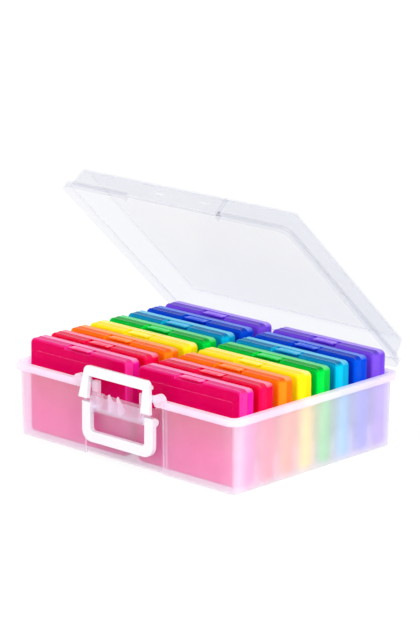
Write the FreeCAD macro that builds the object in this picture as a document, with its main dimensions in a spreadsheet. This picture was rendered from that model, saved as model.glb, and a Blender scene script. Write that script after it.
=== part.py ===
import FreeCAD, Part
import math
import os
import re
import Sketcher

# Photo keeper case: a clear carrying tray with a hinged clear lid, a swinging
# latch and a folding handle on its front, and sixteen small tinted photo cases
# that stand inside in eight rows of two.
#
# Lengths are in millimetres. +X runs to the right as the front is faced, +Y runs
# to the back and +Z up. The origin is the middle of the tray's underside.

SIZES = {
    # Outer tray
    "tray_width": 381.0,
    "tray_depth": 305.0,
    "tray_height": 94.5,
    "tray_wall": 2.4,
    "tray_floor": 2.4,
    "tray_draft": 2.25,
    "wall_corner": 8.0,
    "foot_round": 2.0,
    "floor_round": 1.5,
    # Rolled rim of the tray
    "rim_overhang": 6.25,
    "rim_thickness": 2.0,
    "rim_skirt": 2.0,
    "band_height": 8.7,
    "band_upper": 4.5,
    "band_step": 0.8,
    # Set-back panel behind the handle, its low sill and the gap in the rim
    "recess_width": 133.0,
    "recess_setback": 3.0,
    "sill_width": 104.0,
    "sill_height": 79.0,
    "rim_gap": 151.0,
    # Round bosses that end the rim and carry the latch
    "latch_axis_inset": 1.5,
    "latch_axis_rise": 0.5,
    "boss_radius": 8.0,
    "boss_width": 16.0,
    "boss_front": 4.2,
    "boss_length": 7.7,
    "boss_foot": 8.0,
    # Bracket between the legs of the handle
    "bracket_width": 90.0,
    "bracket_reach": 5.0,
    "bracket_bottom": 61.2,
    "bracket_top": 80.5,
    "bracket_plate": 1.8,
    "cheek_outer": 44.4,
    "cheek_thickness": 8.4,
    "post_top": 98.5,
    "post_front": 3.0,
    "post_back": 4.0,
    "fin_thickness": 1.6,
    "fin_rise": 6.2,
    "fin_left": 14.5,
    "fin_right": 0.5,
    # Rear hinges
    "hinge_setback": 4.0,
    "hinge_spacing": 220.0,
    "hinge_knuckle": 20.0,
    "hinge_radius": 3.8,
    "hinge_pin_radius": 2.0,
    "hinge_bore_clearance": 0.15,
    "hinge_side_clearance": 0.3,
    "hinge_lug": 5.0,
    "hinge_root": 8.6,
    "hinge_arm": 6.5,
    # Outer lid
    "lid_gap": 0.3,
    "lid_height": 36.0,
    "lid_wall": 2.0,
    "lid_panel": 2.0,
    "lid_skirt": 2.0,
    "lid_skirt_height": 9.0,
    "lid_shelf": 2.0,
    "lid_lean": 3.25,
    "lid_round": 6.0,
    "lid_gap_clearance": 0.8,
    "lid_open_angle": 43.5,
    # Latch frame
    "latch_face": 9.5,
    "latch_thickness": 6.0,
    "latch_drop": 19.0,
    "latch_rise": 21.5,
    "latch_bar": 12.5,
    "latch_foot_width": 120.0,
    "latch_head_width": 108.0,
    "latch_opening": 91.0,
    "latch_round": 7.0,
    "latch_edge": 1.0,
    "hook_width": 104.0,
    "hook_height": 10.6,
    "hook_thickness": 5.0,
    "hook_reach": 3.0,
    "hook_round": 2.2,
    "latch_eye_radius": 4.5,
    "latch_eye_width": 7.0,
    "latch_eye_outer": 57.0,
    "latch_pin_radius": 2.5,
    "latch_pin_reach": 9.0,
    "latch_bore_clearance": 0.15,
    "latch_bore_end": 0.5,
    "latch_rest_angle": 8.0,
    # Carrying handle
    "handle_axis_height": 65.2,
    "handle_axis_inset": 3.0,
    "handle_width": 120.0,
    "handle_leg": 14.0,
    "handle_thickness": 7.0,
    "handle_drop": 44.2,
    "handle_bar": 13.5,
    "handle_head": 6.0,
    "handle_corner": 15.0,
    "handle_inner_corner": 5.0,
    "handle_edge": 1.2,
    "handle_eye_radius": 4.5,
    "handle_pin_radius": 3.0,
    "handle_pin_reach": 8.0,
    "handle_bore_clearance": 0.15,
    "handle_bore_end": 0.5,
    # Ribs on the tray's side walls, one at each gap between rows
    "rib_thickness": 3.0,
    "rib_height": 32.0,
    "rib_reach": 6.0,
    # Photo cases
    "case_front_clearance": 8.1,
    "case_back_clearance": 2.7,
    "case_end_clearance": 1.6,
    "case_floor_clearance": 0.2,
    "case_head_clearance": 5.3,
    "row_gap": 7.4,
    "column_gap": 20.0,
    "case_wall": 1.6,
    "case_corner": 7.0,
    "case_front_edge": 3.6,
    "case_back_edge": 6.0,
    "locating_lip": 1.0,
    "locating_lip_reach": 3.0,
    "locating_lip_root": 3.0,
    "locating_lip_clearance": 0.15,
    "tab_width": 34.0,
    "tab_reach": 11.0,
    "tab_thickness": 1.6,
    "tab_clearance": 2.0,
    "tab_side_clearance": 6.0,
    "tab_sink": 0.8,
    # Working values
    "overrun": 3.0,
    "match": 0.01,
}
ROWS = ("pink", "red", "orange", "yellow", "green", "teal", "blue", "purple")
COLUMNS = (("left", -1), ("right", 1))
DEPTHWISE = FreeCAD.Vector(0, 1, 0)

document = FreeCAD.newDocument("photo_keeper_case")
sheet = document.addObject("Spreadsheet::Sheet", "sizes")
for row, (alias, number) in enumerate(SIZES.items(), start=1):
    sheet.set(f"A{row}", alias)
    sheet.set(f"B{row}", str(number))
    sheet.setAlias(f"B{row}", alias)
document.recompute()

# Lines of the tray, worked out from its sizes
MOUTH_X = "(tray_width / 2 - rim_overhang)"
MOUTH_Y = "(tray_depth / 2 - rim_overhang)"
FOOT_X = f"({MOUTH_X} - tray_draft)"
FOOT_Y = f"({MOUTH_Y} - tray_draft)"
TRAY_LEAN = "atan(tray_draft / tray_height)"
RIM_CORNER = "(wall_corner + tray_draft + rim_overhang)"
LATCH_Y = "(-(tray_depth / 2 - latch_axis_inset))"
LATCH_Z = "(tray_height + latch_axis_rise)"
HANDLE_Y = "(-(tray_depth / 2 - handle_axis_inset))"
BRACKET_FRONT = "(-(tray_depth / 2 + bracket_reach))"
HINGE_Y = "(tray_depth / 2 + hinge_setback)"
HINGE_Z = "(tray_height + lid_gap / 2)"

# Lines of the lid, seen from its hinge axis with the lid closed
LID_RIM = "(lid_gap / 2)"
LID_FRONT = "(-(tray_depth + hinge_setback))"
LID_BACK = "(-hinge_setback)"
LID_LEAN = "atan(lid_lean / (lid_height - lid_skirt_height + lid_shelf))"
SHELF_UNDER = f"({LID_RIM} + lid_skirt_height - lid_shelf)"
LID_TOP = f"({LID_RIM} + lid_height)"

# The space for the photo cases and the size of one case
INSIDE_X = f"({FOOT_X} - tray_wall)"
FIRST_Y = f"(-({FOOT_Y} - recess_setback - tray_wall - case_front_clearance))"
LAST_Y = f"({FOOT_Y} - tray_wall - case_back_clearance)"
ROW_COUNT = str(len(ROWS))
PITCH = f"(({LAST_Y} - {FIRST_Y} + row_gap) / {ROW_COUNT})"
CASE_HALF = f"(({PITCH} - row_gap) / 2)"
CASE_WIDTH = f"({INSIDE_X} - case_end_clearance - column_gap / 2)"
CASE_FLOOR = "(tray_floor + case_floor_clearance)"
CASE_HEIGHT = f"(tray_height + lid_gap + lid_height - lid_panel - case_head_clearance - {CASE_FLOOR})"


def bound(text):
    """The same sum with each name pointed at its cell in the sheet."""
    return re.sub(r"[a-z_]+", lambda word: f"sizes.{word[0]}" if word[0] in SIZES else word[0], text)


def value(text):
    """The number that a sum of named sizes comes to."""
    return float(sheet.evalExpression(text))


def place(item, x, y, z):
    """Bind where an item stands."""
    for letter, text in zip("xyz", (x, y, z)):
        item.setExpression(f"Placement.Base.{letter}", bound(text))


def datum(body, role):
    """One of the body's own origin planes or axes."""
    return next(item for item in body.Origin.OriginFeatures if item.Role == role)


def sketch(body, name, role, offset="0"):
    """An empty sketch on one of the body's own planes, moved along its normal."""
    made = body.newObject("Sketcher::SketchObject", name)
    made.AttachmentSupport = [(datum(body, role), "")]
    made.MapMode = "FlatFace"
    made.setExpression(".AttachmentOffset.Base.z", bound(offset))
    return made


def fix(drawn, label, constraint, text):
    """Add a dimension to a sketch and bind it to a sum of named sizes."""
    index = drawn.addConstraint(constraint)
    drawn.renameConstraint(index, label)
    drawn.setExpression(f"Constraints.{label}", bound(text))


def polygon(drawn, points, prefix="p"):
    """A closed outline through points that are pairs of sums."""
    first = drawn.GeometryCount
    places = [FreeCAD.Vector(value(x), value(y), 0) for x, y in points]
    for start, end in zip(places, places[1:] + places[:1]):
        drawn.addGeometry(Part.LineSegment(start, end), False)
    for number in range(len(points)):
        after = first + (number + 1) % len(points)
        drawn.addConstraint(Sketcher.Constraint("Coincident", first + number, 2, after, 1))
    for number, (x, y) in enumerate(points):
        start = first + number
        at = places[number]
        fix(drawn, f"{prefix}{number}x", Sketcher.Constraint("DistanceX", -1, 1, start, 1, at.x), x)
        fix(drawn, f"{prefix}{number}y", Sketcher.Constraint("DistanceY", -1, 1, start, 1, at.y), y)
    return drawn


def rounded(drawn, left, right, low, high, radius, prefix="r"):
    """A rectangle with four equal rounded corners."""
    x0, x1, y0, y1, r = (value(text) for text in (left, right, low, high, radius))
    normal = FreeCAD.Vector(0, 0, 1)
    first = drawn.GeometryCount
    corners = ((x1 - r, y0 + r), (x1 - r, y1 - r), (x0 + r, y1 - r), (x0 + r, y0 + r))
    sides = (
        ((x0 + r, y0), (x1 - r, y0)),
        ((x1, y0 + r), (x1, y1 - r)),
        ((x1 - r, y1), (x0 + r, y1)),
        ((x0, y1 - r), (x0, y0 + r)),
    )
    for number, ((start, end), centre) in enumerate(zip(sides, corners)):
        line = Part.LineSegment(FreeCAD.Vector(*start, 0), FreeCAD.Vector(*end, 0))
        circle = Part.Circle(FreeCAD.Vector(*centre, 0), normal, r)
        turn = math.radians(90 * (number - 1))
        drawn.addGeometry([line, Part.ArcOfCircle(circle, turn, turn + math.pi / 2)], False)
    for number in range(8):
        after = first + (number + 1) % 8
        drawn.addConstraint(Sketcher.Constraint("Tangent", first + number, 2, after, 1))
    for number in (0, 4):
        drawn.addConstraint(Sketcher.Constraint("Horizontal", first + number))
        drawn.addConstraint(Sketcher.Constraint("Vertical", first + number + 2))
    for number in (3, 5, 7):
        drawn.addConstraint(Sketcher.Constraint("Equal", first + 1, first + number))
    fix(drawn, prefix + "right", Sketcher.Constraint("DistanceX", -1, 1, first + 2, 1, x1), right)
    fix(drawn, prefix + "left", Sketcher.Constraint("DistanceX", -1, 1, first + 6, 1, x0), left)
    fix(drawn, prefix + "low", Sketcher.Constraint("DistanceY", -1, 1, first, 1, y0), low)
    fix(drawn, prefix + "high", Sketcher.Constraint("DistanceY", -1, 1, first + 4, 1, y1), high)
    fix(drawn, prefix + "radius", Sketcher.Constraint("Radius", first + 1, r), radius)
    return drawn


def centred(drawn, half_x, half_y, radius, prefix="r"):
    """A rounded rectangle about the sketch's origin."""
    return rounded(drawn, f"-({half_x})", half_x, f"-({half_y})", half_y, radius, prefix)


def pushed(kind, body, name, drawn, length, back=False, lean=None, both=False):
    """A pad or pocket from a sketch."""
    made = body.newObject(f"PartDesign::{kind}", name)
    made.Profile = drawn
    made.Type = "Length"
    made.setExpression("Length", bound(length))
    made.Reversed = back
    if both:
        made.SideType = "Symmetric"
    if lean:
        made.setExpression("TaperAngle", bound(lean))
    return made


def pad(body, name, drawn, length, **options):
    return pushed("Pad", body, name, drawn, length, **options)


def pocket(body, name, drawn, length, **options):
    return pushed("Pocket", body, name, drawn, length, **options)


def block(body, name, x, y, z, cut=False):
    """A block, added or cut, between the low and high sums of each direction."""
    made = body.newObject("PartDesign::SubtractiveBox" if cut else "PartDesign::AdditiveBox", name)
    for side, (low, high) in zip(("Length", "Width", "Height"), (x, y, z)):
        made.setExpression(side, bound(f"{high} - ({low})"))
    place(made, x[0], y[0], z[0])
    return made


def rod(body, name, along, start, end, centre, radius, cut=False):
    """A round rod, added or cut, along X or Y between two sums."""
    if along == "x":
        drawn = sketch(body, f"{name}_circle", "YZ_Plane", start)
    else:
        drawn = sketch(body, f"{name}_circle", "XZ_Plane", f"-({start})")
    middle = FreeCAD.Vector(value(centre[0]), value(centre[1]), 0)
    drawn.addGeometry(Part.Circle(middle, FreeCAD.Vector(0, 0, 1), value(radius)), False)
    fix(drawn, "across", Sketcher.Constraint("DistanceX", -1, 1, 0, 3, middle.x), centre[0])
    fix(drawn, "up", Sketcher.Constraint("DistanceY", -1, 1, 0, 3, middle.y), centre[1])
    fix(drawn, "radius", Sketcher.Constraint("Radius", 0, value(radius)), radius)
    kind = "Pocket" if cut else "Pad"
    forward = along == "x"
    return pushed(kind, body, name, drawn, f"{end} - ({start})", back=forward == cut)


def mirror(body, name, features):
    """The same features on the other side of the middle."""
    made = body.newObject("PartDesign::Mirrored", name)
    made.Originals = features
    made.MirrorPlane = (datum(body, "YZ_Plane"), [""])
    body.Tip = made
    return made


def repeat(body, name, features, extent, count):
    """The same features in an even row along Y."""
    made = body.newObject("PartDesign::LinearPattern", name)
    made.Originals = features
    made.Direction = (datum(body, "Y_Axis"), [""])
    made.setExpression("Length", bound(extent))
    made.Occurrences = count
    body.Tip = made
    return made


def round_edges(body, name, wanted, radius, along=None):
    """A fillet on the edges of the body so far whose ends all pass the test."""
    document.recompute()
    base = body.Tip
    names = []
    for number, edge in enumerate(base.Shape.Edges, start=1):
        ends = [vertex.Point for vertex in edge.Vertexes]
        turned = along is not None and (ends[-1] - ends[0]).cross(along).Length > value("match")
        if not turned and all(wanted(end) for end in ends):
            names.append(f"Edge{number}")
    made = body.newObject("PartDesign::Fillet", name)
    made.Base = (base, names)
    made.setExpression("Radius", bound(radius))
    return made


def near(number, text):
    """Whether a coordinate lies at a sum of named sizes."""
    return abs(number - value(text)) < value("match")


def span(side, near_end, far_end):
    """The low and high ends in X of a stretch on the left or right side."""
    if side > 0:
        return near_end, far_end
    return f"(-({far_end}))", f"(-({near_end}))"


def make_tray():
    """The tray: leaning walls, rolled rim, recess, bracket, ribs and hinge lugs."""
    body = document.addObject("PartDesign::Body", "outer_tray")
    body.Label = "outer_tray"
    outline = centred(sketch(body, "foot_outline", "XY_Plane"), FOOT_X, FOOT_Y, "wall_corner")
    pad(body, "tray_block", outline, "tray_height", lean=TRAY_LEAN)
    round_edges(body, "foot_rounding", lambda point: near(point.z, "0"), "foot_round")

    rim_half = ("tray_width / 2", "tray_depth / 2")
    low_half = tuple(f"{half} - band_step" for half in rim_half)
    skirt_half = tuple(f"{half} - rim_skirt" for half in low_half)
    flange = centred(
        sketch(body, "rim_outline", "XY_Plane", "tray_height - rim_thickness"), *rim_half, RIM_CORNER
    )
    pad(body, "rim_flange", flange, "rim_thickness")
    upper = sketch(body, "upper_band_outline", "XY_Plane", "tray_height - band_upper")
    centred(upper, *rim_half, RIM_CORNER)
    centred(upper, *skirt_half, f"{RIM_CORNER} - band_step - rim_skirt", prefix="inner")
    pad(body, "upper_band", upper, "band_upper")
    lower = sketch(body, "lower_band_outline", "XY_Plane", "tray_height - band_height")
    centred(lower, *low_half, f"{RIM_CORNER} - band_step")
    centred(lower, *skirt_half, f"{RIM_CORNER} - band_step - rim_skirt", prefix="inner")
    pad(body, "lower_band", lower, "band_height - rim_thickness / 2")

    inside = sketch(body, "inside_outline", "XY_Plane", "tray_floor")
    centred(inside, INSIDE_X, f"{FOOT_Y} - tray_wall", "wall_corner - tray_wall")
    pocket(body, "inside", inside, "tray_height - tray_floor", back=True, lean=TRAY_LEAN)
    round_edges(body, "floor_rounding", lambda point: near(point.z, "tray_floor"), "floor_round")

    # The recess keeps the wall's thickness, so its backing stands inside
    backing = sketch(body, "backing_profile", "YZ_Plane")
    skin = "tray_wall / 2"
    depth = "(recess_setback + tray_wall)"
    polygon(backing, (
        (f"-({FOOT_Y} - {skin})", "tray_floor / 2"),
        (f"-({FOOT_Y} - {depth})", "tray_floor / 2"),
        (f"-({MOUTH_Y} - {depth})", "tray_height"),
        (f"-({MOUTH_Y} - {skin})", "tray_height"),
    ))
    pad(body, "recess_backing", backing, "recess_width + 2 * tray_wall", both=True)
    recess = sketch(body, "recess_profile", "YZ_Plane")
    polygon(recess, (
        ("-(tray_depth / 2 + overrun)", "-overrun"),
        (f"-({FOOT_Y} - recess_setback - foot_round)", "-overrun"),
        (f"-({FOOT_Y} - recess_setback - foot_round)", "0"),
        (f"-({FOOT_Y} - recess_setback)", "foot_round"),
        (f"-({MOUTH_Y} - recess_setback)", "tray_height"),
        (f"-({MOUTH_Y} - recess_setback)", "tray_height + overrun"),
        ("-(tray_depth / 2 + overrun)", "tray_height + overrun"),
    ))
    pocket(body, "recess", recess, "recess_width", both=True)
    front = "-(tray_depth / 2 + overrun)"
    over = "tray_height + overrun"
    behind = f"-({MOUTH_Y} - recess_setback - tray_wall - overrun)"
    block(body, "sill", ("-sill_width / 2", "sill_width / 2"), (front, behind), ("sill_height", over),
          cut=True)
    low = "tray_height - band_height - overrun"
    block(body, "rim_gap_cut", ("-rim_gap / 2", "rim_gap / 2"), (front, f"-{MOUTH_Y}"), (low, over),
          cut=True)

    # Bosses at the two ends of the rim carry the latch's trunnions
    inner = "(rim_gap / 2 - boss_width)"
    face = f"({LATCH_Y} - boss_front)"
    boss_end = "latch_eye_outer + latch_pin_reach + latch_bore_end"
    foot = ("tray_height - boss_foot", "tray_height")
    into_recess = f"-({MOUTH_Y} - recess_setback - tray_wall / 2)"
    into_wall = f"-({MOUTH_Y} - tray_wall + tray_draft / 4)"
    boss = [
        block(body, "boss_root", (inner, "recess_width / 2"), ("-tray_depth / 2", into_recess), foot),
        block(body, "boss_foot", ("recess_width / 2", "rim_gap / 2"), ("-tray_depth / 2", into_wall),
              foot),
        rod(body, "boss", "y", face, f"{face} + boss_length", ("rim_gap / 2 - boss_width / 2", LATCH_Z),
            "boss_radius"),
        rod(body, "latch_bore", "x", f"{inner} - overrun", boss_end, (LATCH_Y, LATCH_Z),
            "latch_pin_radius + latch_bore_clearance", cut=True),
    ]
    mirror(body, "left_boss", boss)
    make_bracket(body)

    # Low ribs on both side walls stand at the gaps between the rows
    middle = f"({FIRST_Y} + {PITCH} - row_gap / 2)"
    along = (f"{middle} - rib_thickness / 2", f"{middle} + rib_thickness / 2")
    rise = ("tray_floor / 2", "tray_floor + rib_height")
    tip = f"{INSIDE_X} - rib_reach"
    ribs = [
        block(body, f"{name}_rib", span(side, tip, f"{INSIDE_X} + tray_wall / 2"), along, rise)
        for name, side in COLUMNS
    ]
    repeat(body, "rib_row", ribs, f"{len(ROWS) - 2} * {PITCH}", len(ROWS) - 1)

    # Each hinge is a pin between two lugs that grow from the rim's skirt
    middle = "hinge_spacing / 2"
    reach = "(hinge_knuckle / 2 + hinge_side_clearance)"
    hinge = []
    for name, side in COLUMNS:
        near_x, far_x = span(side, reach, f"({reach} + hinge_lug)")
        x = (f"{middle} + {near_x}", f"{middle} + {far_x}")
        y = ("tray_depth / 2 - rim_skirt", f"{HINGE_Y} + hinge_radius")
        hinge.append(block(body, f"{name}_lug_root", x, y, (f"{HINGE_Z} - hinge_root", HINGE_Z)))
        hinge.append(rod(body, f"{name}_lug", "x", *x, (HINGE_Y, HINGE_Z), "hinge_radius"))
    x = (f"{middle} - {reach} - hinge_lug / 2", f"{middle} + {reach} + hinge_lug / 2")
    hinge.append(rod(body, "hinge_pin", "x", *x, (HINGE_Y, HINGE_Z), "hinge_pin_radius"))
    mirror(body, "left_hinge", hinge)
    return body


def make_bracket(body):
    """The bracket on the recess: plate, shelf, cheeks with posts and two fins."""
    wall = f"(-({MOUTH_Y} - recess_setback - tray_wall / 2 - tray_draft / 2))"
    plate_back = f"({BRACKET_FRONT} + bracket_plate)"
    shelf_top = "bracket_bottom + bracket_plate"
    angle = sketch(body, "bracket_profile", "YZ_Plane")
    polygon(angle, (
        (BRACKET_FRONT, "bracket_bottom"),
        (wall, "bracket_bottom"),
        (wall, shelf_top),
        (plate_back, shelf_top),
        (plate_back, "bracket_top"),
        (BRACKET_FRONT, "bracket_top"),
    ))
    pad(body, "bracket", angle, "bracket_width", both=True)
    for name, x in (("left", "-fin_left"), ("right", "fin_right")):
        profile = sketch(body, f"{name}_fin_profile", "YZ_Plane", x)
        polygon(profile, (
            (f"{plate_back} - bracket_plate / 2", "bracket_bottom + bracket_plate / 2"),
            (wall, "bracket_bottom + bracket_plate / 2"),
            (wall, "bracket_bottom + 2 * bracket_plate"),
            (f"{plate_back} + fin_thickness", "bracket_top + fin_rise"),
            (f"{plate_back} - bracket_plate / 2", "bracket_top + fin_rise - fin_thickness"),
        ))
        pad(body, f"{name}_fin", profile, "fin_thickness", both=True)
    cheek = sketch(body, "cheek_profile", "YZ_Plane", "cheek_outer - cheek_thickness / 2")
    polygon(cheek, (
        (BRACKET_FRONT, "bracket_bottom"),
        (wall, "bracket_bottom"),
        (wall, "bracket_top"),
        (f"{LATCH_Y} + post_back", "bracket_top"),
        (f"{LATCH_Y} + post_back", "post_top"),
        (f"{LATCH_Y} - post_front", "post_top"),
        (f"{LATCH_Y} - post_front", "bracket_top"),
        (BRACKET_FRONT, "bracket_top"),
    ))
    inner = "cheek_outer - handle_pin_reach - handle_bore_end"
    pair = [
        pad(body, "cheek", cheek, "cheek_thickness", both=True),
        rod(body, "handle_bore", "x", inner, "bracket_width / 2 + overrun",
            (HANDLE_Y, "handle_axis_height"), "handle_pin_radius + handle_bore_clearance", cut=True),
    ]
    mirror(body, "left_cheek", pair)


def make_lid():
    """The lid, drawn closed about its hinge axis and then swung open."""
    body = document.addObject("PartDesign::Body", "outer_lid")
    body.Label = "outer_lid"
    half = "tray_width / 2"

    def outline(name, height, inset, radius):
        side = f"({half} - ({inset}))"
        return rounded(sketch(body, name, "XY_Plane", height), f"-{side}", side,
                       f"{LID_FRONT} + {inset}", f"{LID_BACK} - ({inset})", radius)

    wall_radius = f"{RIM_CORNER} - rim_overhang"
    walls = outline("lid_wall_outline", SHELF_UNDER, "rim_overhang", wall_radius)
    pad(body, "lid_block", walls, f"{LID_TOP} - {SHELF_UNDER}", lean=f"-{LID_LEAN}")
    shelf = outline("shelf_outline", SHELF_UNDER, "0", RIM_CORNER)
    pad(body, "lid_shelf_plate", shelf, "lid_shelf")
    skirt = outline("skirt_outline", LID_RIM, "0", RIM_CORNER)
    rounded(skirt, f"-({half} - lid_skirt)", f"{half} - lid_skirt", f"{LID_FRONT} + lid_skirt",
            f"{LID_BACK} - lid_skirt", f"{RIM_CORNER} - lid_skirt", prefix="inner")
    pad(body, "lid_skirt_ring", skirt, "lid_skirt_height - lid_shelf / 2")
    hollow = outline("hollow_outline", SHELF_UNDER, "rim_overhang + lid_wall",
                     f"{wall_radius} - lid_wall")
    ceiling = f"{LID_TOP} - lid_panel"
    pocket(body, "lid_hollow", hollow, f"{ceiling} - {SHELF_UNDER}", back=True, lean=f"-{LID_LEAN}")
    round_edges(body, "lid_hollow_rounding", lambda point: near(point.z, ceiling),
                "lid_round - lid_wall")
    round_edges(body, "lid_top_rounding", lambda point: near(point.z, LID_TOP), "lid_round")

    # The front wall steps back behind the latch and keeps its thickness
    wall_front = f"{LID_FRONT} + rim_overhang"
    top_front = f"{wall_front} + lid_lean"
    backing = sketch(body, "lid_backing_profile", "YZ_Plane")
    polygon(backing, (
        (f"{wall_front} + lid_wall / 2", SHELF_UNDER),
        (f"{wall_front} + recess_setback + lid_wall", SHELF_UNDER),
        (f"{top_front} + recess_setback + lid_wall", f"{LID_TOP} - lid_panel / 2"),
        (f"{top_front} + recess_setback + lid_wall / 2", f"{LID_TOP} - lid_panel / 2"),
        (f"{top_front} + lid_wall / 2", f"{LID_TOP} - lid_round"),
    ))
    pad(body, "lid_backing", backing, "recess_width + 2 * lid_wall", both=True)
    notch = sketch(body, "notch_profile", "YZ_Plane")
    shelf_top = f"{SHELF_UNDER} + lid_shelf"
    rise = f"({LID_TOP} - {SHELF_UNDER})"
    polygon(notch, (
        (f"{LID_FRONT} - overrun", shelf_top),
        (f"{wall_front} + recess_setback + lid_lean * lid_shelf / {rise}", shelf_top),
        (f"{top_front} + recess_setback + lid_lean * overrun / {rise}", f"{LID_TOP} + overrun"),
        (f"{LID_FRONT} - overrun", f"{LID_TOP} + overrun"),
    ))
    pocket(body, "notch", notch, "recess_width", both=True)
    gap = "(rim_gap / 2 + lid_gap_clearance)"
    block(body, "skirt_gap", (f"-{gap}", gap), (f"{LID_FRONT} - overrun", wall_front),
          (f"{LID_RIM} - overrun", f"{shelf_top} + overrun"), cut=True)
    skirt_end = block(body, "skirt_end", (gap, f"{gap} + lid_skirt"),
                      (f"{LID_FRONT} + lid_skirt / 2", f"{wall_front} + lid_wall / 2"),
                      (LID_RIM, shelf_top))
    mirror(body, "left_skirt_end", [skirt_end])

    # Knuckles turn on the tray's pins
    x = ("hinge_spacing / 2 - hinge_knuckle / 2", "hinge_spacing / 2 + hinge_knuckle / 2")
    knuckle = [
        block(body, "arm", x, (f"{LID_BACK} - lid_skirt / 2", "hinge_radius"), (LID_RIM, "hinge_arm")),
        rod(body, "knuckle", "x", *x, ("0", "0"), "hinge_radius"),
        rod(body, "knuckle_bore", "x", f"{x[0]} - overrun", f"{x[1]} + overrun", ("0", "0"),
            "hinge_pin_radius + hinge_bore_clearance", cut=True),
    ]
    mirror(body, "left_knuckle", knuckle)
    body.Placement.Rotation = FreeCAD.Rotation(FreeCAD.Vector(-1, 0, 0), value("lid_open_angle"))
    body.setExpression("Placement.Rotation.Angle", bound("lid_open_angle"))
    place(body, "0", HINGE_Y, HINGE_Z)
    return body


def make_latch():
    """The latch frame: an open frame whose hook drops over the lid's ledge."""
    body = document.addObject("PartDesign::Body", "latch_frame")
    body.Label = "latch_frame"
    profile = polygon(sketch(body, "frame_profile", "XZ_Plane", "latch_face - latch_thickness"), (
        ("-latch_foot_width / 2", "-latch_drop"),
        ("-latch_opening / 2", "-latch_drop"),
        ("-latch_opening / 2", "latch_rise - latch_bar"),
        ("latch_opening / 2", "latch_rise - latch_bar"),
        ("latch_opening / 2", "-latch_drop"),
        ("latch_foot_width / 2", "-latch_drop"),
        ("latch_head_width / 2", "latch_rise"),
        ("-latch_head_width / 2", "latch_rise"),
    ))
    pad(body, "frame", profile, "latch_thickness")
    round_edges(body, "frame_corners", lambda point: near(point.z, "latch_rise")
                and near(abs(point.x), "latch_head_width / 2"), "latch_round", along=DEPTHWISE)
    round_edges(body, "frame_front_edges", lambda point: near(point.y, "-latch_face"), "latch_edge")

    # The hook reaches back from the head and is eased along its upper edge
    hook = polygon(sketch(body, "hook_profile", "YZ_Plane"), (
        ("-(latch_face - latch_thickness / 2)", "hook_height"),
        ("hook_reach", "hook_height"),
        ("hook_reach", "hook_height + hook_thickness - hook_round"),
        ("hook_reach - hook_round", "hook_height + hook_thickness"),
        ("-(latch_face - latch_thickness / 2)", "hook_height + hook_thickness"),
    ))
    pad(body, "hook", hook, "hook_width", both=True)
    trunnion = [
        rod(body, "eye", "x", "latch_eye_outer - latch_eye_width", "latch_eye_outer", ("0", "0"),
            "latch_eye_radius"),
        rod(body, "trunnion", "x", "latch_eye_outer - latch_eye_width / 2",
            "latch_eye_outer + latch_pin_reach", ("0", "0"), "latch_pin_radius"),
    ]
    mirror(body, "left_trunnion", trunnion)
    body.Placement.Rotation = FreeCAD.Rotation(FreeCAD.Vector(-1, 0, 0), value("latch_rest_angle"))
    body.setExpression("Placement.Rotation.Angle", bound("latch_rest_angle"))
    place(body, "0", LATCH_Y, LATCH_Z)
    return body


def make_handle():
    """The U-shaped carrying handle, hanging down from its two trunnions."""
    body = document.addObject("PartDesign::Body", "carry_handle")
    body.Label = "carry_handle"
    outer = "handle_width / 2"
    inner = "(handle_width / 2 - handle_leg)"
    profile = polygon(sketch(body, "handle_profile", "XZ_Plane"), (
        (f"-{outer}", "handle_head"),
        (f"-{outer}", "-handle_drop"),
        (outer, "-handle_drop"),
        (outer, "handle_head"),
        (inner, "handle_head"),
        (inner, "-(handle_drop - handle_bar)"),
        (f"-{inner}", "-(handle_drop - handle_bar)"),
        (f"-{inner}", "handle_head"),
    ))
    pad(body, "grip", profile, "handle_thickness")
    round_edges(body, "grip_corners", lambda point: near(point.z, "-handle_drop"), "handle_corner",
                along=DEPTHWISE)
    round_edges(body, "grip_inner_corners", lambda point: near(point.z, "-(handle_drop - handle_bar)")
                and near(abs(point.x), inner), "handle_inner_corner", along=DEPTHWISE)
    round_edges(body, "grip_front_edges", lambda point: near(point.y, "-handle_thickness"),
                "handle_edge")
    trunnion = [
        rod(body, "eye", "x", inner, outer, ("0", "0"), "handle_eye_radius"),
        rod(body, "trunnion", "x", "cheek_outer - handle_pin_reach", f"{inner} + handle_leg / 2",
            ("0", "0"), "handle_pin_radius"),
    ]
    mirror(body, "left_trunnion", trunnion)
    place(body, "0", HANDLE_Y, "handle_axis_height")
    return body


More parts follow.
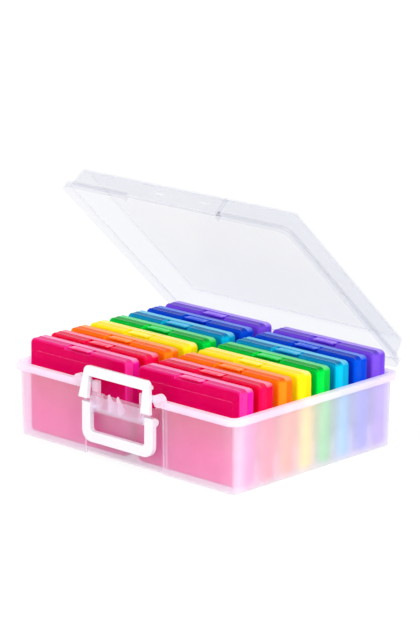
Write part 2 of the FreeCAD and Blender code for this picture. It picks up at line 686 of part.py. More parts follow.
def make_case_half(name, number, side, front):
    """One half of a photo case: the front half is the body, the back half the lid."""
    label = f"{name}_case_{'body' if front else 'lid'}"
    body = document.addObject("PartDesign::Body", label)
    body.Label = label
    half = f"({CASE_WIDTH} / 2)"
    shell = rounded(sketch(body, "shell_outline", "XZ_Plane"), f"-{half}", half, "0", CASE_HEIGHT,
                    "case_corner")
    pad(body, "shell", shell, CASE_HALF, back=not front)
    face = f"-{CASE_HALF}" if front else CASE_HALF
    edge = "case_front_edge" if front else "case_back_edge"

    def inset(name, offset, distance):
        end = f"({half} - ({distance}))"
        return rounded(sketch(body, name, "XZ_Plane", offset), f"-{end}", end, distance,
                       f"{CASE_HEIGHT} - ({distance})", f"case_corner - ({distance})")

    hollow = inset("hollow_outline", "0", "case_wall")
    pocket(body, "hollow", hollow, f"{CASE_HALF} - case_wall", back=front)
    floor = f"-({CASE_HALF} - case_wall)" if front else f"{CASE_HALF} - case_wall"
    round_edges(body, "hollow_rounding", lambda point: near(point.y, floor), f"{edge} - case_wall")

    top = CASE_HEIGHT
    slot = "(tab_width / 2 + tab_side_clearance)"
    deep = "(tab_sink + tab_thickness + tab_clearance)"
    if front:
        block(body, "tab_seat", (f"-({slot} + case_wall)", f"{slot} + case_wall"),
              (f"-({CASE_HALF} - case_wall / 2)", "0"),
              (f"{top} - {deep} - case_wall", f"{top} - case_wall / 2"))
    round_edges(body, "shell_rounding", lambda point: near(point.y, face), edge)
    if front:
        block(body, "tab_slot", (f"-{slot}", slot), (f"-({CASE_HALF} + overrun)", "overrun"),
              (f"{top} - {deep}", f"{top} + overrun"), cut=True)
    else:
        lip = "(case_wall + locating_lip_clearance)"
        inner = f"({lip} + locating_lip)"
        root = sketch(body, "lip_root_outline", "XZ_Plane", "-locating_lip_root")
        ring = sketch(body, "lip_outline", "XZ_Plane")
        for drawn, outer in ((root, "case_wall / 2"), (ring, lip)):
            rounded(drawn, f"-({half} - {outer})", f"{half} - {outer}", outer, f"{top} - {outer}",
                    f"case_corner - {outer}")
            rounded(drawn, f"-({half} - {inner})", f"{half} - {inner}", inner, f"{top} - {inner}",
                    f"case_corner - {inner}", prefix="inner")
        pad(body, "lip_root", root, "locating_lip_root")
        pad(body, "lip", ring, "locating_lip_reach")
        clear = f"({slot} + case_wall + locating_lip_clearance)"
        block(body, "lip_gap", (f"-{clear}", clear), ("-(locating_lip_reach + overrun)", "0"),
              (f"{top} / 2", f"{top} + overrun"), cut=True)
        block(body, "tab_root", ("-tab_width / 2", "tab_width / 2"), ("0", "locating_lip_root"),
              (f"{top} - tab_sink - tab_thickness - case_wall", f"{top} - case_wall / 2"))
        block(body, "tab", ("-tab_width / 2", "tab_width / 2"), ("-tab_reach", "case_wall"),
              (f"{top} - tab_sink - tab_thickness", f"{top} - tab_sink"))
    x = f"{side} * (column_gap / 2 + {half})"
    place(body, x, f"{FIRST_Y} + {number} * {PITCH} + {CASE_HALF}", CASE_FLOOR)
    return body


parts = [make_tray(), make_lid(), make_latch(), make_handle()]
for number, colour in enumerate(ROWS):
    for column, side in COLUMNS:
        for front in (True, False):
            parts.append(make_case_half(f"{colour}_{column}", number, side, front))
document.recompute()

for item in document.Objects:
    if "Invalid" in item.State or "Error" in item.State:
        raise RuntimeError(f"{item.Label} failed: {item.State}")
for body in parts:
    if body.Shape.isNull() or not body.Shape.isValid() or len(body.Shape.Solids) != 1:
        raise RuntimeError(f"{body.Label} has no single valid solid")

os.makedirs("parts", exist_ok=True)
for body in parts:
    body.Shape.exportStep(f"parts/{body.Label}.step")
    print(f"{body.Label}: {body.Shape.Volume:.0f} mm3, {len(body.Shape.Faces)} faces")
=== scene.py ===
# Photo keeper case: a frosted tray, a clear lid, a snap latch, a carry handle and sixteen tinted photo cases
import bpy
from math import cos, pi, radians, sin
from mathutils import Matrix, Vector


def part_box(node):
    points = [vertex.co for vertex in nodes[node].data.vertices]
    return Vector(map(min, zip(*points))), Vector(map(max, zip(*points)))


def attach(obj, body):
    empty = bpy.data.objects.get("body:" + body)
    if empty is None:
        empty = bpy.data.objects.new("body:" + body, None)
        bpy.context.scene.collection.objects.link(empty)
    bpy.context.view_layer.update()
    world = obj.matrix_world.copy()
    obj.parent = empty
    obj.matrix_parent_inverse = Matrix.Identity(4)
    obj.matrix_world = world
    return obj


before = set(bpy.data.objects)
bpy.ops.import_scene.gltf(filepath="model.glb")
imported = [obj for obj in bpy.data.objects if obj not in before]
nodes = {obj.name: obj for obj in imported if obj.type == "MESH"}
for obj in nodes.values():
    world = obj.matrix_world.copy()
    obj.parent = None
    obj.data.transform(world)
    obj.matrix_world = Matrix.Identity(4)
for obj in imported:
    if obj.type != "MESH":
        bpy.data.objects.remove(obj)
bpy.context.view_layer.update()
MM = 0.001
MM_PER_METRE = 1000.0


def linear(hex_colour):
    """An sRGB hex colour as the linear colour that a shader reads."""
    parts = [int(hex_colour[i:i + 2], 16) / 255 for i in (0, 2, 4)]
    return tuple(p / 12.92 if p <= 0.04045 else ((p + 0.055) / 1.055) ** 2.4 for p in parts) + (1.0,)


def add(tree, kind, inputs=None, **settings):
    """Adds one node with its settings. An input given as a socket, or as a node for its first output, is
    linked, and any other value is set on it."""
    made = tree.nodes.new(kind)
    for name, value in settings.items():
        setattr(made, name, value)
    for name, value in (inputs or {}).items():
        if isinstance(value, bpy.types.Node):
            value = value.outputs[0]
        if isinstance(value, bpy.types.NodeSocket):
            tree.links.new(value, made.inputs[name])
        else:
            made.inputs[name].default_value = value
    return made


# The camera stands in front of the right corner and looks slightly down, as a product is photographed.
VIEW_AZIMUTH = radians(42.84)
VIEW_ELEVATION = radians(14.25)
VIEW_ROLL = radians(0.45)
VIEW_DISTANCE = 3.74708
VIEW_TARGET = Vector((-0.01843, 0.02811, 0.17374))
FOCAL_PIXELS = 3000.0
FRAME_HEIGHT_PIXELS = 630.0
AXIS_ABOVE_MIDDLE_PIXELS = 16.81
SENSOR_MM = 36.0
FARTHEST_SEEN = 100.0


def make_camera():
    level_forward = Vector((-sin(VIEW_AZIMUTH), cos(VIEW_AZIMUTH), 0))
    forward = level_forward * cos(VIEW_ELEVATION) - Vector((0, 0, sin(VIEW_ELEVATION)))
    level = Vector((cos(VIEW_AZIMUTH), sin(VIEW_AZIMUTH), 0))
    upward = level.cross(forward)
    right = level * cos(VIEW_ROLL) + upward * sin(VIEW_ROLL)
    up = upward * cos(VIEW_ROLL) - level * sin(VIEW_ROLL)
    camera = bpy.data.objects.new("camera", bpy.data.cameras.new("camera"))
    bpy.context.scene.collection.objects.link(camera)
    place = Matrix((right, up, -forward)).transposed().to_4x4()
    place.translation = VIEW_TARGET - forward * VIEW_DISTANCE
    camera.matrix_world = place
    camera.data.sensor_width = SENSOR_MM
    camera.data.lens = SENSOR_MM * FOCAL_PIXELS / FRAME_HEIGHT_PIXELS
    camera.data.shift_y = -AXIS_ABOVE_MIDDLE_PIXELS / FRAME_HEIGHT_PIXELS
    camera.data.clip_end = FARTHEST_SEEN
    bpy.context.scene.camera = camera


make_camera()


def blank_material(name):
    material = bpy.data.materials.new(name)
    material.use_nodes = True
    material.node_tree.nodes.clear()
    return material, material.node_tree


# Light: an even white room, a large soft lamp high over the right side and a weaker one over the left front
ROOM_LIGHT = 0.9
LAMPS = (
    # name, direction it shines in, strength, width of the lamp as seen from the object in degrees
    ("right soft box", (-0.8, 0.25, -0.55), 1.85, 50),
    ("front soft box", (0.35, 0.75, -0.56), 0.9, 60),
)
FLOOR_GLOW = 0.8
FLOOR_REACH = 14.0
CARD_TONES = (0.955, 0.97)
CARD_FIBRES_PER_METRE = 60.0
WHITE = (1, 1, 1, 1)


def seen_rays(tree):
    """1 for a ray from the camera, or one that a glossy or clear surface sends on, and 0 for any other."""
    rays = add(tree, "ShaderNodeLightPath").outputs
    seen = add(tree, "ShaderNodeMath", {0: rays["Is Camera Ray"], 1: rays["Is Glossy Ray"]},
               operation="MAXIMUM")
    return add(tree, "ShaderNodeMath", {0: seen, 1: rays["Is Transmission Ray"]}, operation="MAXIMUM")


def make_studio():
    world = bpy.data.worlds.new("white room")
    bpy.context.scene.world = world
    world.use_nodes = True
    tree = world.node_tree
    tree.nodes.clear()
    seen = seen_rays(tree)
    strength = add(tree, "ShaderNodeMapRange", {"Value": seen, "To Min": ROOM_LIGHT, "To Max": 1.0})
    back = add(tree, "ShaderNodeBackground", {"Color": WHITE, "Strength": strength})
    add(tree, "ShaderNodeOutputWorld", {"Surface": back})

    for name, direction, strength, width in LAMPS:
        lamp = bpy.data.lights.new(name, "SUN")
        lamp.energy, lamp.angle = strength, radians(width)
        holder = bpy.data.objects.new(name, lamp)
        bpy.context.scene.collection.objects.link(holder)
        holder.matrix_world = Vector(direction).to_track_quat("-Z", "Y").to_matrix().to_4x4()

    # The floor is white card. To the camera it is mostly plain white, and the rest of it takes the shadow.
    material, tree = blank_material("white_card")
    share = add(tree, "ShaderNodeMath", {0: seen_rays(tree), 1: FLOOR_GLOW}, operation="MULTIPLY")
    fibre = add(tree, "ShaderNodeTexNoise", {"Scale": CARD_FIBRES_PER_METRE, "Detail": 3.0})
    tone = add(tree, "ShaderNodeMapRange", {"Value": fibre, "To Min": CARD_TONES[0], "To Max": CARD_TONES[1]})
    card = add(tree, "ShaderNodeBsdfDiffuse", {"Color": tone})
    glow = add(tree, "ShaderNodeEmission", {"Color": WHITE, "Strength": 1.0})
    both = add(tree, "ShaderNodeMixShader", {0: share, 1: card, 2: glow})
    add(tree, "ShaderNodeOutputMaterial", {"Surface": both})
    mesh = bpy.data.meshes.new("floor")
    far = FLOOR_REACH
    mesh.from_pydata([(-far, -far, 0), (far, -far, 0), (far, far, 0), (-far, far, 0)], [], [(0, 1, 2, 3)])
    mesh.materials.append(material)
    floor = bpy.data.objects.new("floor", mesh)
    bpy.context.scene.collection.objects.link(floor)


make_studio()
bpy.context.scene.view_settings.view_transform = "Standard"


# How clear plastic takes light. A ray gets dark behind too many clear faces, so past MOST_FACES the next one
# counts as solid. A haze scatters light forward, so it takes from a lamp only a share of what it hides.
MOST_FACES = 6.5
SHADOW_SHARE = 0.35
PLASTIC_IOR = 1.49
EDGE_BLEND = 0.35
EDGE_POWER = 3.0
# How far a face has to look to the side to be an end wall, painted as a lit side, and upwards to be a top,
# painted with sheen: from none to wholly
END_LEANS = (0.4, 0.8)
TOP_LEANS = (0.3, 0.9)
# Unevenness of the moulding: in how much it hides and in its gloss, each way, and in the relief of its skin
CLOUD_RANGE = (0.3, 0.7)
MOTTLE = 0.02
GLOSS_SPREAD = 0.2
RELIEF = 0.2 * MM
RELIEF_STRENGTH = 0.05
# Places on the tray that are thicker than its walls: all above the foot of its rolled rim, and the ribs,
# which stand inward of the side walls' inner face, between the ends of the rows and above the floor
RIM_FOOT = 85.8 * MM
RIB_ROOT = 179.4 * MM
RIB_ROW_END = 136.0 * MM
RIB_FOOT = 2.6 * MM
RIB_HAZE = 0.98
# How far below the rim a case has wholly taken on the painted light colour of its foot
FOOT_FADE = 50.0 * MM


def wall_shares(tree, place):
    """How far a spot is on an end wall, on a top or low down in the tray, each from 0 to 1: the masks for
    painted light.
    """
    normal = add(tree, "ShaderNodeSeparateXYZ", {0: add(tree, "ShaderNodeNewGeometry").outputs["Normal"]})
    sideways = add(tree, "ShaderNodeMath", {0: normal.outputs["X"]}, operation="ABSOLUTE")
    height = add(tree, "ShaderNodeSeparateXYZ", {0: place}).outputs["Z"]
    return {
        where: add(tree, "ShaderNodeMapRange", {"Value": value, "From Min": none, "From Max": wholly})
        for where, value, none, wholly in (
            ("end", sideways, *END_LEANS),
            ("top", normal.outputs["Z"], *TOP_LEANS),
            ("foot", height, RIM_FOOT, RIM_FOOT - FOOT_FADE))}


def thick_places(tree, place):
    """Two masks, one that is 1 on the tray's rolled rim and one that is 1 on its ribs."""
    spot = add(tree, "ShaderNodeSeparateXYZ", {0: place}).outputs
    rim = add(tree, "ShaderNodeMath", {0: spot["Z"], 1: RIM_FOOT}, operation="GREATER_THAN")
    ribs = add(tree, "ShaderNodeMath", {0: spot["Z"], 1: RIB_FOOT}, operation="GREATER_THAN")
    for axis, reach in (("X", RIB_ROOT), ("Y", RIB_ROW_END)):
        outward = add(tree, "ShaderNodeMath", {0: spot[axis]}, operation="ABSOLUTE")
        inside = add(tree, "ShaderNodeMath", {0: outward, 1: reach}, operation="LESS_THAN")
        ribs = add(tree, "ShaderNodeMath", {0: ribs, 1: inside}, operation="MULTIPLY")
    return rim, ribs


def clear_plastic(name, tint, deep, let_by, haze, edge_haze, roughness, grain_mm, cloud_mm, glow, shine=0.5,
                  painted_light_tints=None, end_haze=None, rim_haze=None):
    """A thin moulded plastic that shows what is behind it.

    tint is the colour that it scatters, and deep the same where a wall is looked along. elsewhere gives
    other colours for the foot, the end walls and the tops. let_by is what one whole wall does to the light
    that it lets by. haze is the share of the view that one face hides when it is looked at squarely,
    end_haze the same on an end wall, rim_haze on the tray's rim, and edge_haze on any face that is looked
    along. glow is the part of that share that lets through light from behind, and shine the strength of its
    gloss."""
    material, tree = blank_material(name)
    place = add(tree, "ShaderNodeTexCoord").outputs["Object"]
    cloud, grain = (
        add(tree, "ShaderNodeTexNoise", {
            "Vector": place, "Scale": MM_PER_METRE / size_mm, "Detail": detail, "Roughness": harshness})
        for size_mm, detail, harshness in ((cloud_mm, 2.0, 0.5), (grain_mm, 3.0, 0.6)))
    along = add(tree, "ShaderNodeLayerWeight", {"Blend": EDGE_BLEND}).outputs["Facing"]
    shares = wall_shares(tree, place)
    mottle = add(tree, "ShaderNodeMapRange", {
        "Value": cloud, "From Min": CLOUD_RANGE[0], "From Max": CLOUD_RANGE[1],
        "To Min": 1 - MOTTLE, "To Max": 1 + MOTTLE})

    colour = add(tree, "ShaderNodeMix", {0: along, 6: linear(tint), 7: linear(deep)}, data_type="RGBA")
    # Painted light: end walls take a brighter colour as lit sides, tops a paler one as painted sheen, and low
    # down the front row takes its foot colour.
    for where, other in (painted_light_tints or {}).items():
        colour = add(tree, "ShaderNodeMix", {0: shares[where], 6: colour.outputs[2], 7: linear(other)},
                     data_type="RGBA")
    shade = add(tree, "ShaderNodeHueSaturation", {"Color": colour.outputs[2], "Value": mottle})

    hides = add(tree, "ShaderNodeMix", {0: shares["end"], 2: haze, 3: end_haze or haze}, data_type="FLOAT")
    if rim_haze is not None:
        rim, ribs = thick_places(tree, place)
        hides = add(tree, "ShaderNodeMix", {0: rim, 2: hides, 3: rim_haze}, data_type="FLOAT")
        hides = add(tree, "ShaderNodeMix", {0: ribs, 2: hides, 3: RIB_HAZE}, data_type="FLOAT")
    edge = add(tree, "ShaderNodeMath", {0: along, 1: EDGE_POWER}, operation="POWER")
    hides = add(tree, "ShaderNodeMix", {0: edge, 2: hides, 3: edge_haze}, data_type="FLOAT")
    hides = add(tree, "ShaderNodeMath", {0: hides, 1: mottle}, operation="MULTIPLY", use_clamp=True)
    rays = add(tree, "ShaderNodeLightPath").outputs
    shadow = add(tree, "ShaderNodeMapRange", {
        "Value": rays["Is Shadow Ray"], "To Min": 1.0, "To Max": SHADOW_SHARE})
    hides = add(tree, "ShaderNodeMath", {0: hides, 1: shadow}, operation="MULTIPLY")
    stacked = add(tree, "ShaderNodeMath", {0: rays["Transparent Depth"], 1: MOST_FACES},
                  operation="GREATER_THAN")
    hides = add(tree, "ShaderNodeMath", {0: hides, 1: stacked}, operation="MAXIMUM")

    gloss = add(tree, "ShaderNodeMapRange", {
        "Value": cloud, "To Min": roughness * (1 - GLOSS_SPREAD), "To Max": roughness * (1 + GLOSS_SPREAD)})
    bump = add(tree, "ShaderNodeBump", {"Height": grain, "Strength": RELIEF_STRENGTH, "Distance": RELIEF})
    skin = add(tree, "ShaderNodeBsdfPrincipled", {
        "Base Color": shade, "Roughness": gloss, "IOR": PLASTIC_IOR,
        "Specular IOR Level": shine, "Specular Tint": linear(deep), "Normal": bump})
    # Light from behind spreads in the wall and comes out on the near side.
    spread = add(tree, "ShaderNodeBsdfTranslucent", {"Color": shade, "Normal": bump})
    lit = add(tree, "ShaderNodeMixShader", {0: glow, 1: skin, 2: spread})
    # A wall has two faces, so each takes the square root of what the wall takes.
    one_face = tuple(part ** 0.5 for part in linear(let_by)[:3]) + (1.0,)
    through = add(tree, "ShaderNodeBsdfTransparent", {"Color": one_face})
    both = add(tree, "ShaderNodeMixShader", {0: hides, 1: through, 2: lit})
    add(tree, "ShaderNodeOutputMaterial", {"Surface": both})
    return material


# Frosted polypropylene, injection moulded: a milky wall with a faint lavender cast, milkier at the thick rim,
# that softens what is behind it
tray_finish = clear_plastic(
    "frosted_polypropylene", "FAF2FF", "FFFFFF", "FDFAFF", haze=0.31, end_haze=0.64, rim_haze=0.76,
    edge_haze=0.75, roughness=0.32, grain_mm=0.9, cloud_mm=30.0, glow=0.65)
# Clear polypropylene, injection moulded and thin: a pale grey veil, thicker where a wall is looked along
lid_finish = clear_plastic(
    "clear_polypropylene", "B6B7BC", "DADADF", "FBFCFF", haze=0.10, edge_haze=0.45, roughness=0.2,
    grain_mm=2.5, cloud_mm=45.0, glow=0.2)
# A moulded bead on the clear lid is thicker than its walls, so it shows as a fine white line, which also
# stands for painted highlight along the lid's edges.
lid_bead_finish = clear_plastic(
    "clear_polypropylene_bead", "F2F3F8", "FFFFFF", "FFFFFF", haze=0.7, edge_haze=0.9, roughness=0.15,
    grain_mm=2.5, cloud_mm=45.0, glow=0.3)

# Tinted polystyrene, injection moulded, one colour to a row: bright and glossy, and deeper where a wall is
# looked along. A case's ends are painted brighter than its broad front, as painted light from the side, and
# the top of its back half is painted paler, as painted sheen.
ROW_TINTS = {
    # row: front, where looked along, light let by, end of body, end of lid, top of body, top of lid; the ends
    # are painted lit sides and the tops painted sheen
    "pink": ("E6006A", "D6005C", "FB20A0", "FF48C4", "FF20CC", "EC3C9C", "FFB4E6"),
    "red": ("F60C4C", "DC0038", "FA1E58", "FF1470", "FA0854", "E42C60", "FFB0CC"),
    "orange": ("FF9418", "F47400", "FF9A20", "FFB024", "FF8C0C", "F07410", "FFC484"),
    "yellow": ("FFF41C", "FFE400", "FFF830", "FFFC20", "FFF010", "FBE838", "FFF8A8"),
    "green": ("08DC50", "00B43C", "20E870", "00FF5C", "04E050", "04A838", "8CF0B4"),
    "teal": ("0CB4E0", "008CC0", "18C4EC", "04E8FC", "04C8EC", "0884B4", "90E8FC"),
    "blue": ("0658E8", "003CC0", "1068F0", "0468EE", "0258EC", "0848C0", "8CACF8"),
    "purple": ("9860F0", "7C40D4", "A070F4", "9C68F0", "9058EC", "7854D0", "D4B8FF"),
}
# Low down, the light that comes in through the milky tray turns the front row towards magenta; this light is
# painted into its colour.
FOOT_TINTS = {"pink": "FA28AC"}
CASE_SKIN = {
    "haze": 0.7, "edge_haze": 0.95, "roughness": 0.12, "grain_mm": 1.5, "cloud_mm": 25.0, "glow": 0.3,
    "shine": 0.2}
# A thin moulded bead catches more light than the wall that it stands on, most of all along the top; this is
# painted highlight, in the case's painted lit-end colour where it is looked along and its painted sheen
# colour on top.
BEAD_SKIN = {"haze": 0.8, "edge_haze": 0.95, "roughness": 0.1, "grain_mm": 1.5, "cloud_mm": 25.0, "glow": 0.2}
body_finish, lid_half_finish, bead_finish = {}, {}, {}
for row, (front, deep, let_by, body_lit_end, lid_lit_end, body_top_sheen, lid_top_sheen) in ROW_TINTS.items():
    made = f"{row}_tinted_polystyrene"
    # Each half's ends and top take its painted lit-side and painted sheen colours.
    body_tints = {"end": body_lit_end, "top": body_top_sheen}
    if row in FOOT_TINTS:
        body_tints = {"foot": FOOT_TINTS[row], **body_tints}
    body_finish[row] = clear_plastic(made, front, deep, let_by, **CASE_SKIN, painted_light_tints=body_tints)
    lid_half_finish[row] = clear_plastic(
        made + "_back_half", front, deep, let_by, **CASE_SKIN, painted_light_tints={"end": lid_lit_end, "top": lid_top_sheen})
    bead_finish[row] = clear_plastic(
        made + "_bead", front, body_lit_end, let_by, **BEAD_SKIN, painted_light_tints={"top": lid_top_sheen})

WHITE_TONES = ("D2D0D6", "DCDADF")
WHITE_GLOSS = (0.16, 0.26)
WHITE_CLOUDS_PER_METRE = 60.0
WHITE_PEELS_PER_METRE = 600.0
PEEL_RELIEF = 0.3 * MM
ABS_IOR = 1.53


def white_gloss_finish():
    """ABS, injection moulded in plain white: opaque and smooth, with a soft shine and a faint orange peel."""
    material, tree = blank_material("white_moulded_abs")
    place = add(tree, "ShaderNodeTexCoord").outputs["Object"]
    cloud, peel = (
        add(tree, "ShaderNodeTexNoise", {"Vector": place, "Scale": scale, "Detail": detail})
        for scale, detail in ((WHITE_CLOUDS_PER_METRE, 3.0), (WHITE_PEELS_PER_METRE, 2.0)))
    dull, bright = (linear(tone) for tone in WHITE_TONES)
    colour = add(tree, "ShaderNodeMix", {0: cloud, 6: dull, 7: bright}, data_type="RGBA")
    gloss = add(tree, "ShaderNodeMapRange", {
        "Value": cloud, "To Min": WHITE_GLOSS[0], "To Max": WHITE_GLOSS[1]})
    bump = add(tree, "ShaderNodeBump", {"Height": peel, "Strength": RELIEF_STRENGTH, "Distance": PEEL_RELIEF})
    skin = add(tree, "ShaderNodeBsdfPrincipled", {
        "Base Color": colour.outputs[2], "Roughness": gloss, "IOR": ABS_IOR, "Normal": bump})
    add(tree, "ShaderNodeOutputMaterial", {"Surface": skin})
    return material


white_finish = white_gloss_finish()
CASES = [(row, f"{row}_{column}_case") for row in ROW_TINTS for column in ("left", "right")]


def dress(node, material):
    """Gives every slot of a solid's own mesh one finish."""
    slots = nodes[node].material_slots
    if not slots:
        nodes[node].data.materials.append(material)
    for slot in slots:
        slot.material = material


dress("outer_tray", tray_finish)
dress("outer_lid", lid_finish)
dress("latch_frame", white_finish)
dress("carry_handle", white_finish)
for row, case in CASES:
    dress(f"{case}_body", body_finish[row])
    dress(f"{case}_lid", lid_half_finish[row])


# Moulded trim is made of rounds and bars of bead, in a tree that takes its sizes as named inputs.
ROUND_SIDES = 8


def begin_tree(name, sizes):
    """A tree with a named input for each size, and the outputs of its input node."""
    tree = bpy.data.node_groups.new(name, "GeometryNodeTree")
    for label, size in sizes.items():
        kind = "NodeSocketInt" if isinstance(size, int) else "NodeSocketFloat"
        tree.interface.new_socket(label, in_out="INPUT", socket_type=kind)
    tree.interface.new_socket("Finish", in_out="INPUT", socket_type="NodeSocketMaterial")
    tree.interface.new_socket("Geometry", in_out="OUTPUT", socket_type="NodeSocketGeometry")
    return tree, add(tree, "NodeGroupInput").outputs


def bead_round(tree, width, height, corner, steps, bead, middle, turn=(0, 0, 0)):
    """A round bead that follows a rectangle with eased corners."""
    outline = add(tree, "GeometryNodeCurvePrimitiveQuadrilateral", {"Width": width, "Height": height})
    eased = add(tree, "GeometryNodeFilletCurve", {"Curve": outline, "Radius": corner, "Count": steps},
                mode="POLY")
    placed = add(tree, "GeometryNodeTransform", {"Geometry": eased, "Translation": middle, "Rotation": turn})
    section = add(tree, "GeometryNodeCurvePrimitiveCircle", {"Resolution": ROUND_SIDES, "Radius": bead})
    return add(tree, "GeometryNodeCurveToMesh", {"Curve": placed, "Profile Curve": section})


def bead_bars(tree, count, first, step, length, bead, sides):
    """Straight round beads with closed ends, one after another."""
    places = add(tree, "GeometryNodeMeshLine", {"Count": count, "Start Location": first, "Offset": step})
    start, end = (
        add(tree, "ShaderNodeCombineXYZ", {
            "X": add(tree, "ShaderNodeMath", {0: length, 1: share}, operation="MULTIPLY")})
        for share in (-0.5, 0.5))
    middle_line = add(tree, "GeometryNodeCurvePrimitiveLine", {"Start": start, "End": end})
    section = add(tree, "GeometryNodeCurvePrimitiveCircle", {"Resolution": sides, "Radius": bead})
    bar = add(tree, "GeometryNodeCurveToMesh", {
        "Curve": middle_line, "Profile Curve": section, "Fill Caps": True})
    return add(tree, "GeometryNodeInstanceOnPoints", {"Points": places, "Instance": bar})


def end_tree(tree, beads, finish):
    """Joins the beads as real mesh in one finish."""
    joined = add(tree, "GeometryNodeJoinGeometry")
    for bead in beads:
        tree.links.new(bead.outputs[0], joined.inputs[0])
    real = add(tree, "GeometryNodeRealizeInstances", {"Geometry": joined})
    finished = add(tree, "GeometryNodeSetMaterial", {"Geometry": real, "Material": finish})
    add(tree, "NodeGroupOutput", {"Geometry": finished})


def piece_from_tree(name, tree, sizes, finish):
    """The plain mesh piece that a tree makes at these sizes."""
    piece = bpy.data.objects.new(name, bpy.data.meshes.new(f"{name}_draft"))
    bpy.context.scene.collection.objects.link(piece)
    rule = piece.modifiers.new("beads", "NODES")
    rule.node_group = tree
    sockets = {item.name: item.identifier for item in tree.interface.items_tree if item.in_out == "INPUT"}
    for label, value in {**sizes, "Finish": finish}.items():
        rule[sockets[label]] = value
    mesh = bpy.data.meshes.new_from_object(piece.evaluated_get(bpy.context.evaluated_depsgraph_get()))
    piece.modifiers.remove(rule)
    piece.data = mesh
    mesh.shade_smooth()
    return piece


# Beads and grip lines on each photo case. The shoulder beads lie that far behind the front face and before
# the back one, the panel's bead lies in from the sides and from head and foot, the first grip line lies
# before the seam, and the tab that the lines stand on is sunk below the case's top.
SEAM_BEAD = 0.45 * MM
CASE_CORNER = 7.0 * MM
CASE_CORNER_STEPS = 6
SHOULDER_BEAD = 0.25 * MM
FRONT_SHOULDER = 3.6 * MM
BACK_SHOULDER = 6.0 * MM
PANEL_BEAD = 0.12 * MM
PANEL_SIDE = 11.0 * MM
PANEL_HEAD = 15.0 * MM
PANEL_CORNER = 3.0 * MM
GRIP_LINES = 3
GRIP_LENGTH = 22.0 * MM
GRIP_PITCH = 2.6 * MM
GRIP_BEAD = 0.4 * MM
GRIP_FIRST = 9.4 * MM
TAB_SINK = 0.8 * MM
# The turn that stands a flat outline up, across the case
UPRIGHT = (pi / 2, 0, 0)


def case_trim_sizes(case):
    low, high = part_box(f"{case}_body")
    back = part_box(f"{case}_lid")[1].y
    width, height = high.x - low.x, high.z - low.z
    return {
        "Middle X": (low.x + high.x) / 2, "Middle Z": (low.z + high.z) / 2,
        "Width": width, "Height": height, "Corner": CASE_CORNER,
        "Seam Y": high.y, "Seam Bead": SEAM_BEAD,
        "Front Shoulder Y": low.y + FRONT_SHOULDER, "Back Shoulder Y": back - BACK_SHOULDER,
        "Shoulder Bead": SHOULDER_BEAD,
        "Panel Y": low.y, "Panel Width": width - 2 * PANEL_SIDE, "Panel Height": height - 2 * PANEL_HEAD,
        "Panel Corner": PANEL_CORNER, "Panel Bead": PANEL_BEAD,
        "Grip Y": high.y - GRIP_FIRST, "Grip Z": high.z - TAB_SINK, "Grip Lines": GRIP_LINES,
        "Grip Pitch": GRIP_PITCH, "Grip Length": GRIP_LENGTH, "Grip Bead": GRIP_BEAD,
    }


def case_trim_tree(sizes):
    """The bead round a case at its seam, two on its shoulders, one on its front and the lines on its tab."""
    tree, case = begin_tree("case trim", sizes)
    at_seam, at_front_shoulder, at_back_shoulder, at_panel = (
        add(tree, "ShaderNodeCombineXYZ", {"X": case["Middle X"], "Y": case[y], "Z": case["Middle Z"]})
        for y in ("Seam Y", "Front Shoulder Y", "Back Shoulder Y", "Panel Y"))
    around = case["Width"], case["Height"], case["Corner"], CASE_CORNER_STEPS
    panel = case["Panel Width"], case["Panel Height"], case["Panel Corner"], CASE_CORNER_STEPS
    first = add(tree, "ShaderNodeCombineXYZ", {
        "X": case["Middle X"], "Y": case["Grip Y"], "Z": case["Grip Z"]})
    step = add(tree, "ShaderNodeCombineXYZ", {"Y": case["Grip Pitch"]})
    end_tree(tree, (
        bead_round(tree, *around, case["Seam Bead"], at_seam, UPRIGHT),
        bead_round(tree, *around, case["Shoulder Bead"], at_front_shoulder, UPRIGHT),
        bead_round(tree, *around, case["Shoulder Bead"], at_back_shoulder, UPRIGHT),
        bead_round(tree, *panel, case["Panel Bead"], at_panel, UPRIGHT),
        bead_bars(
            tree, case["Grip Lines"], first, step, case["Grip Length"], case["Grip Bead"], ROUND_SIDES),
    ), case["Finish"])
    return tree


def make_case_trims():
    tree = case_trim_tree(case_trim_sizes(CASES[0][1]))
    for row, case in CASES:
        trim = piece_from_tree(f"{case}_trim", tree, case_trim_sizes(case), bead_finish[row])
        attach(trim, case)


make_case_trims()

# The lid as the part's source draws it, shut, with its hinge axis as the origin: its back edge lies before
# the axis, its walls lean in above a shelf, and the notch in its front wall is set back
LID_HINGE_Y = 156.5 * MM
LID_HINGE_Z = 94.65 * MM
LID_OPEN = radians(43.5)
LID_WIDTH = 381.0 * MM
LID_DEPTH = 305.0 * MM
LID_BACK = 4.0 * MM
WALL_INSET = 6.25 * MM
WALL_LEAN = 3.25 * MM
SHELF_HEIGHT = 9.15 * MM
PANEL_UNDER = 34.15 * MM
NOTCH_SETBACK = 3.0 * MM

# Fine beads on the lid: one round the foot of its raised walls, one inside the panel's edge, and two catch
# bars that lie just behind the face of the notch
LID_BEAD = 0.45 * MM
LID_CORNER = 10.25 * MM
LID_CORNER_STEPS = 8
PANEL_EDGE = 9.0 * MM
CATCH_BARS = 2
CATCH_SIDES = 12
CATCH_LENGTH = 11.0 * MM
CATCH_SPACING = 74.0 * MM
CATCH_HEIGHT = 22.0 * MM
CATCH_BEAD = 0.9 * MM
CATCH_DEPTH = 2.0 * MM


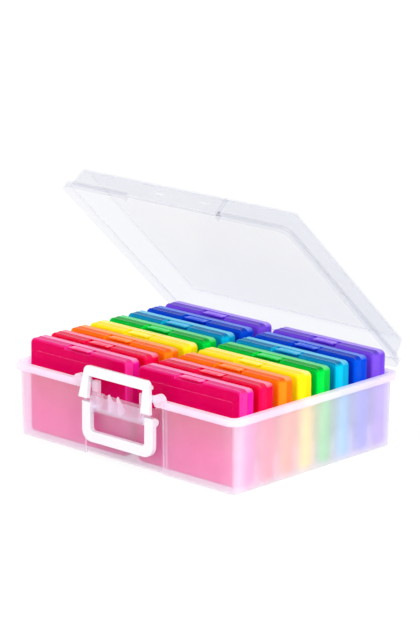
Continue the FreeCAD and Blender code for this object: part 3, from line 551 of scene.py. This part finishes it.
def lid_bead_sizes():
    catch_lean = WALL_LEAN * (CATCH_HEIGHT - SHELF_HEIGHT) / (PANEL_UNDER - SHELF_HEIGHT)
    foot_inset = WALL_INSET + LID_BEAD
    panel_inset = WALL_INSET + WALL_LEAN + PANEL_EDGE
    return {
        "Middle Y": -LID_BACK - LID_DEPTH / 2, "Corner": LID_CORNER, "Bead": LID_BEAD,
        "Foot Width": LID_WIDTH - 2 * foot_inset, "Foot Depth": LID_DEPTH - 2 * foot_inset,
        "Foot Z": SHELF_HEIGHT - LID_BEAD,
        "Panel Width": LID_WIDTH - 2 * panel_inset, "Panel Depth": LID_DEPTH - 2 * panel_inset,
        "Panel Z": PANEL_UNDER,
        "Catch Bars": CATCH_BARS, "Catch Length": CATCH_LENGTH, "Catch Spacing": CATCH_SPACING,
        "Catch Y": WALL_INSET + NOTCH_SETBACK + CATCH_DEPTH + catch_lean - LID_BACK - LID_DEPTH,
        "Catch Z": CATCH_HEIGHT, "Catch Bead": CATCH_BEAD,
    }


def make_lid_beads():
    sizes = lid_bead_sizes()
    tree, lid = begin_tree("lid beads", sizes)
    rounds = []
    for ring in ("Foot", "Panel"):
        middle = add(tree, "ShaderNodeCombineXYZ", {"Y": lid["Middle Y"], "Z": lid[f"{ring} Z"]})
        rounds.append(bead_round(
            tree, lid[f"{ring} Width"], lid[f"{ring} Depth"], lid["Corner"], LID_CORNER_STEPS, lid["Bead"],
            middle))
    first_x = add(tree, "ShaderNodeMath", {0: lid["Catch Spacing"], 1: -0.5}, operation="MULTIPLY")
    first = add(tree, "ShaderNodeCombineXYZ", {"X": first_x, "Y": lid["Catch Y"], "Z": lid["Catch Z"]})
    step = add(tree, "ShaderNodeCombineXYZ", {"X": lid["Catch Spacing"]})
    catches = bead_bars(
        tree, lid["Catch Bars"], first, step, lid["Catch Length"], lid["Catch Bead"], CATCH_SIDES)
    end_tree(tree, (*rounds, catches), lid["Finish"])
    beads = piece_from_tree("lid_beads", tree, sizes, lid_bead_finish)
    swung = Matrix.Translation((0, LID_HINGE_Y, LID_HINGE_Z)) @ Matrix.Rotation(-LID_OPEN, 4, "X")
    beads.data.transform(swung)
    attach(beads, "lid")


make_lid_beads()
